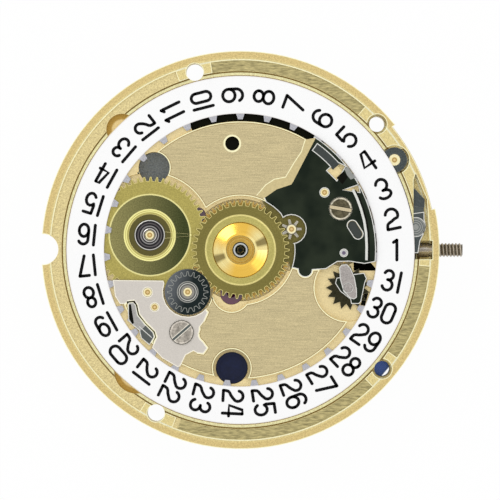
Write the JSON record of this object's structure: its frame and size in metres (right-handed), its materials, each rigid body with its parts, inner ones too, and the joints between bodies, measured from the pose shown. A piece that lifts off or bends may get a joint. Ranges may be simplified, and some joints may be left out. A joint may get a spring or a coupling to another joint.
{
  "type": "watch movement",
  "caption": "Automatic watch movement with a calendar ring, seen from the dial side without dial or hands.",
  "frame": {"origin": "on the centre axis of the movement, at the face that the dial rests on", "axes": "+Z towards the dial and hands, +X along the winding stem towards 3, +Y towards 12"},
  "size_m": [0.0276, 0.026, 0.006],
  "materials": {
    "plate_brass": "champagne gilt, straight grained",
    "wheel_brass": "olive gilt, circular grained",
    "train_brass": "gilt, fine grained",
    "steel": "polished steel",
    "dark_steel": "dark satin steel",
    "black_steel": "mirror polished, reflects dark",
    "satin_steel": "satin, frosted",
    "ring_white": "white lacquer with black numerals",
    "ruby": "polished synthetic ruby"
  },
  "bodies": {
    "movement_frame": {"main_plate": "plate_brass", "plate_jewels": "ruby", "shock_settings": "black_steel", "wheel_studs": "plate_brass", "date_plate": "black_steel", "date_plate_screw": "steel", "date_bridge": "satin_steel", "date_bridge_screw": "steel", "date_jumper": "steel", "corrector_cover": "black_steel", "setting_lever_spring": "dark_steel", "click_spring": "steel", "balance_spring": "dark_steel", "train_bridge": "satin_steel", "barrel_bridge": "satin_steel", "pallet_bridge": "satin_steel", "balance_bridge": "satin_steel", "bridge_jewels": "ruby", "bridge_screws": "steel", "automatic_bridge": "satin_steel", "automatic_bridge_screws": "steel", "rotor_bearing": "steel"},
    "calendar_ring": {"date_ring": "ring_white"},
    "hour_hand_wheel": {"hour_wheel": "wheel_brass", "hour_washer": "train_brass"},
    "cannon": {"cannon_pinion": "steel"},
    "minute": {"minute_wheel": "wheel_brass"},
    "setting": {"setting_wheel": "wheel_brass"},
    "calendar_intermediate": {"intermediate_date_wheel": "dark_steel"},
    "calendar_drive": {"date_driving_wheel": "wheel_brass"},
    "corrector_star": {"date_corrector": "dark_steel"},
    "corrector_arm": {"corrector_lever": "satin_steel"},
    "lever": {"setting_lever": "dark_steel"},
    "yoke_arm": {"yoke": "dark_steel"},
    "stem": {"winding_stem": "steel"},
    "winding": {"winding_pinion": "steel"},
    "sliding": {"sliding_pinion": "steel"},
    "crown_gear": {"crown_wheel": "steel"},
    "ratchet": {"ratchet_wheel": "steel", "barrel_arbor": "steel"},
    "click_arm": {"click": "steel"},
    "barrel": {"barrel_drum": "train_brass", "barrel_cover": "train_brass", "mainspring": "steel"},
    "great": {"great_wheel": "train_brass"},
    "third": {"third_wheel": "train_brass"},
    "seconds": {"seconds_wheel": "train_brass"},
    "minute_drive": {"minute_driving_wheel": "train_brass"},
    "escape": {"escape_wheel": "train_brass"},
    "pallets": {"pallet_fork": "dark_steel"},
    "balance": {"balance_wheel": "train_brass"},
    "regulator_arm": {"regulator": "steel"},
    "stop_arm": {"stop_lever": "steel"},
    "reverser_a": {"reversing_wheel_a": "train_brass"},
    "reverser_b": {"reversing_wheel_b": "train_brass"},
    "reduction": {"reduction_wheel": "train_brass"},
    "rotor": {"rotor_gear": "train_brass", "rotor_plate": "satin_steel", "rotor_weight": "steel", "rotor_screw": "steel"}
  },
  "joints": [
    {"name": "date_ring_turn", "type": "hinge", "parent": "movement_frame", "child": "calendar_ring", "pos_m": [0, 0, -0.00032], "axis": [0, 0, 1], "continuous": true},
    {"name": "hour_turn", "type": "hinge", "parent": "movement_frame", "child": "hour_hand_wheel", "pos_m": [0, 0, -0.0003], "axis": [0, 0, 1], "continuous": true},
    {"name": "cannon_turn", "type": "hinge", "parent": "movement_frame", "child": "cannon", "pos_m": [0, 0, -0.0005], "axis": [0, 0, 1], "continuous": true},
    {"name": "minute_turn", "type": "hinge", "parent": "movement_frame", "child": "minute", "pos_m": [0.00333, 0.00136, -0.00075], "axis": [0, 0, 1], "continuous": true},
    {"name": "setting_turn", "type": "hinge", "parent": "movement_frame", "child": "setting", "pos_m": [0.00659, 0.0003, -0.00085], "axis": [0, 0, 1], "continuous": true},
    {"name": "calendar_intermediate_turn", "type": "hinge", "parent": "movement_frame", "child": "calendar_intermediate", "pos_m": [-0.00345, -0.00275, -0.0004], "axis": [0, 0, 1], "continuous": true},
    {"name": "calendar_drive_turn", "type": "hinge", "parent": "movement_frame", "child": "calendar_drive", "pos_m": [-0.00593, 0.00097, -0.0006], "axis": [0, 0, 1], "continuous": true},
    {"name": "corrector_star_turn", "type": "hinge", "parent": "movement_frame", "child": "corrector_star", "pos_m": [0.00703, -0.00247, -0.0005], "axis": [0, 0, 1], "continuous": true},
    {"name": "corrector_arm_swing", "type": "hinge", "parent": "movement_frame", "child": "corrector_arm", "pos_m": [0.00703, -0.00247, -0.0001], "axis": [0, 0, 1], "range_deg": [-4, 4]},
    {"name": "rotor_turn", "type": "hinge", "parent": "movement_frame", "child": "rotor", "pos_m": [0, 0, -0.0042], "axis": [0, 0, 1], "continuous": true},
    {"name": "reverser_a_turn", "type": "hinge", "parent": "movement_frame", "child": "reverser_a", "pos_m": [0.00165, 0.00286, -0.0036], "axis": [0, 0, 1], "continuous": true},
    {"name": "reverser_b_turn", "type": "hinge", "parent": "movement_frame", "child": "reverser_b", "pos_m": [-0.00028, 0.00516, -0.0036], "axis": [0, 0, 1], "continuous": true},
    {"name": "reduction_turn", "type": "hinge", "parent": "movement_frame", "child": "reduction", "pos_m": [0.00087, 0.00793, -0.0036], "axis": [0, 0, 1], "continuous": true},
    {"name": "ratchet_turn", "type": "hinge", "parent": "movement_frame", "child": "ratchet", "pos_m": [0.0046, 0.0051, -0.0032], "axis": [0, 0, 1], "continuous": true},
    {"name": "crown_wheel_turn", "type": "hinge", "parent": "movement_frame", "child": "crown_gear", "pos_m": [0.00785, 0, -0.0032], "axis": [0, 0, 1], "continuous": true},
    {"name": "winding_pinion_turn", "type": "hinge", "parent": "movement_frame", "child": "winding", "pos_m": [0.00985, 0, -0.0018], "axis": [1, 0, 0], "continuous": true},
    {"name": "stem_pull", "type": "slide", "parent": "winding", "child": "stem", "axis": [1, 0, 0], "range_m": [0, 0.0006]},
    {"name": "sliding_pinion_slide", "type": "slide", "parent": "winding", "child": "sliding", "axis": [1, 0, 0], "range_m": [-0.00045, 0]},
    {"name": "setting_lever_swing", "type": "hinge", "parent": "movement_frame", "child": "lever", "pos_m": [0.01146, 0.0015, -0.0006], "axis": [0, 0, 1], "range_deg": [0, 23.6]},
    {"name": "yoke_swing", "type": "hinge", "parent": "movement_frame", "child": "yoke_arm", "pos_m": [0.01007, 0.00589, -0.0006], "axis": [0, 0, 1], "range_deg": [-4.4, 0]},
    {"name": "stop_lever_swing", "type": "hinge", "parent": "movement_frame", "child": "stop_arm", "pos_m": [0.0036, -0.0049, -0.0029], "axis": [0, 0, 1], "range_deg": [-3.5, 0]},
    {"name": "click_lift", "type": "hinge", "parent": "movement_frame", "child": "click_arm", "pos_m": [0.00416, -0.00035, -0.0035], "axis": [0, 0, 1], "range_deg": [0, 8]},
    {"name": "seconds_turn", "type": "hinge", "parent": "movement_frame", "child": "seconds", "pos_m": [0, 0, -0.0028], "axis": [0, 0, 1], "continuous": true},
    {"name": "barrel_turn", "type": "hinge", "parent": "movement_frame", "child": "barrel", "pos_m": [0.0046, 0.0051, -0.0022], "axis": [0, 0, 1], "continuous": true},
    {"name": "great_turn", "type": "hinge", "parent": "movement_frame", "child": "great", "pos_m": [-0.00075, 0.00585, -0.00145], "axis": [0, 0, 1], "continuous": true},
    {"name": "third_turn", "type": "hinge", "parent": "movement_frame", "child": "third", "pos_m": [-0.00278, 0.00229, -0.00165], "axis": [0, 0, 1], "continuous": true},
    {"name": "minute_drive_turn", "type": "hinge", "parent": "movement_frame", "child": "minute_drive", "pos_m": [0, 0, -0.001], "axis": [0, 0, 1], "continuous": true},
    {"name": "escape_turn", "type": "hinge", "parent": "movement_frame", "child": "escape", "pos_m": [-0.00059, -0.00282, -0.00256], "axis": [0, 0, 1], "continuous": true},
    {"name": "pallet_swing", "type": "hinge", "parent": "movement_frame", "child": "pallets", "pos_m": [-0.00058, -0.00526, -0.00256], "axis": [0, 0, 1], "range_deg": [-5, 5]},
    {"name": "balance_swing", "type": "hinge", "parent": "movement_frame", "child": "balance", "pos_m": [-0.00057, -0.00771, -0.003], "axis": [0, 0, 1], "range_deg": [-270, 270]},
    {"name": "regulator_swing", "type": "hinge", "parent": "movement_frame", "child": "regulator_arm", "pos_m": [-0.00057, -0.00771, -0.0039], "axis": [0, 0, 1], "range_deg": [-10, 10]}
  ],
  "couplings": [
    {"joint": "cannon_turn", "follows": "hour_turn", "ratio": 12},
    {"joint": "minute_turn", "follows": "hour_turn", "ratio": -6},
    {"joint": "setting_turn", "follows": "hour_turn", "ratio": 14.4},
    {"joint": "calendar_intermediate_turn", "follows": "hour_turn", "ratio": -2.3333},
    {"joint": "calendar_drive_turn", "follows": "hour_turn", "ratio": 0.5},
    {"joint": "reverser_a_turn", "follows": "rotor_turn", "ratio": -1.2},
    {"joint": "reverser_b_turn", "follows": "rotor_turn", "ratio": 1.2},
    {"joint": "reduction_turn", "follows": "rotor_turn", "ratio": -1.2},
    {"joint": "ratchet_turn", "follows": "rotor_turn", "ratio": 0.18462},
    {"joint": "crown_wheel_turn", "follows": "rotor_turn", "ratio": -0.375},
    {"joint": "winding_pinion_turn", "follows": "rotor_turn", "ratio": -0.85714},
    {"joint": "sliding_pinion_slide", "follows": "stem_pull", "ratio": -0.75},
    {"joint": "setting_lever_swing", "follows": "stem_pull", "rad_per_m": 685.91},
    {"joint": "yoke_swing", "follows": "stem_pull", "rad_per_m": -127.41},
    {"joint": "stop_lever_swing", "follows": "stem_pull", "rad_per_m": -101.52},
    {"joint": "barrel_turn", "follows": "seconds_turn", "ratio": -0.002849},
    {"joint": "great_turn", "follows": "seconds_turn", "ratio": 0.018519},
    {"joint": "third_turn", "follows": "seconds_turn", "ratio": -0.13333},
    {"joint": "minute_drive_turn", "follows": "seconds_turn", "ratio": 0.016667},
    {"joint": "escape_turn", "follows": "seconds_turn", "ratio": -12}
  ]
}
